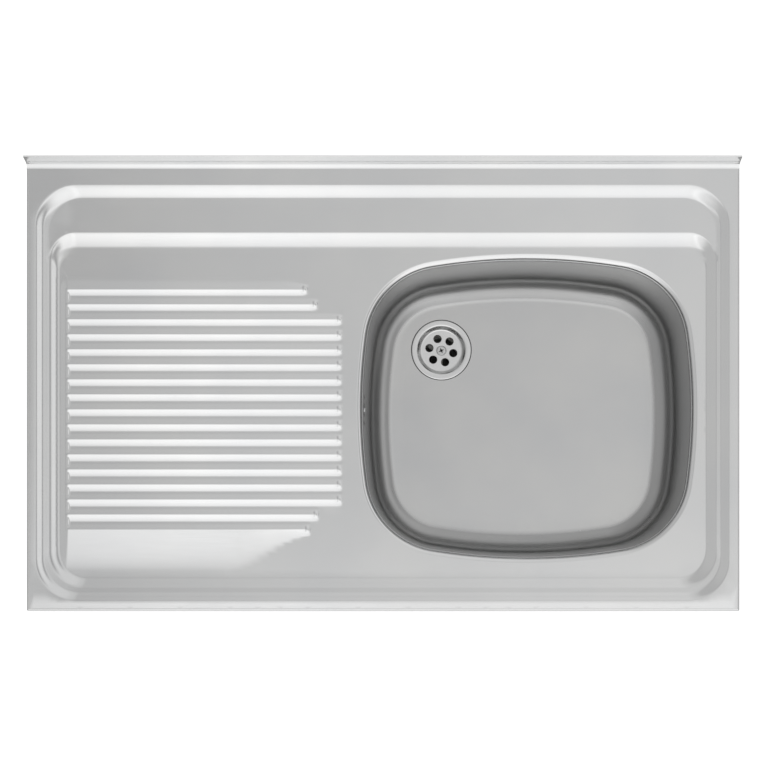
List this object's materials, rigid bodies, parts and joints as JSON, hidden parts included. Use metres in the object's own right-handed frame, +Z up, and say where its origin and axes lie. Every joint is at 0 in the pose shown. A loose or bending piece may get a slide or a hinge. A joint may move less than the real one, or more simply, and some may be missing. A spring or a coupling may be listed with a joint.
{
  "type": "kitchen sink with drainboard",
  "caption": "Lay-on steel kitchen sink with a ridged drainboard, a deep bowl, a strainer waste and overflow, and a low back upstand.",
  "frame": {"origin": "middle of the plane in which the folded skirts rest on the cabinet: halfway across the width, and halfway from the front skirt to the foot of the upstand", "axes": "+X to the right along the width, +Y from the front to the upstand, +Z up; the drainboard is at -X and the bowl at +X"},
  "size_m": [0.8, 0.5072, 0.2516],
  "materials": {
    "deck_steel": "satin pressed stainless sheet",
    "bowl_steel": "satin deep-drawn stainless sheet",
    "strainer_steel": "polished stainless pressing",
    "screw_steel": "turned stainless screw",
    "bracket_screw_steel": "zinc-plated wood screw",
    "coated_steel": "zinc-coated sheet",
    "batten_wood": "planed softwood",
    "pad_rubber": "sound-deadening sheet",
    "gasket_rubber": "moulded rubber",
    "white_plastic": "moulded polypropylene",
    "nut_plastic": "moulded polypropylene",
    "hose_plastic": "ribbed flexible hose",
    "bracket_plastic": "moulded nylon",
    "insert_brass": "turned brass"
  },
  "bodies": {
    "sink_body": {"deck": "deck_steel", "bowl": "bowl_steel", "waste_strainer": "strainer_steel", "bracket_screws": "bracket_screw_steel", "left_batten": "batten_wood", "right_batten": "batten_wood", "front_batten": "batten_wood", "rear_batten": "batten_wood", "drainboard_stiffener_left": "coated_steel", "drainboard_stiffener_right": "coated_steel", "drainboard_sound_pad": "pad_rubber", "bowl_sound_pad": "pad_rubber", "strainer_gasket": "gasket_rubber", "body_gasket": "gasket_rubber", "overflow_gasket": "gasket_rubber", "hose_seal_head": "gasket_rubber", "hose_seal_body": "gasket_rubber", "waste_body": "white_plastic", "overflow_head": "white_plastic", "screw_insert": "insert_brass", "head_insert": "insert_brass", "overflow_hose": "hose_plastic", "bracket_front_left": "bracket_plastic", "bracket_front_right": "bracket_plastic", "bracket_rear_left": "bracket_plastic", "bracket_rear_right": "bracket_plastic"},
    "strainer_screw": {"strainer_screw": "screw_steel"},
    "overflow_screw": {"overflow_screw": "screw_steel"},
    "hose_nut_head": {"hose_nut_head": "nut_plastic"},
    "hose_nut_body": {"hose_nut_body": "nut_plastic"}
  },
  "joints": [
    {"name": "strainer_screw_turn", "type": "hinge", "parent": "sink_body", "child": "strainer_screw", "pos_m": [0.0663, 0.0568, -0.1183], "axis": [0, 0, 1], "continuous": true},
    {"name": "overflow_screw_turn", "type": "hinge", "parent": "sink_body", "child": "overflow_screw", "pos_m": [-0.02248, -0.0225, -0.002], "axis": [-0.9986, 0, -0.0523], "continuous": true},
    {"name": "hose_nut_head_turn", "type": "hinge", "parent": "sink_body", "child": "hose_nut_head", "pos_m": [-0.04827, -0.0225, -0.03], "axis": [0, 0, 1], "continuous": true},
    {"name": "hose_nut_body_turn", "type": "hinge", "parent": "sink_body", "child": "hose_nut_body", "pos_m": [0.02025, 0.02493, -0.1381], "axis": [0.8223, 0.5691, 0], "continuous": true}
  ]
}
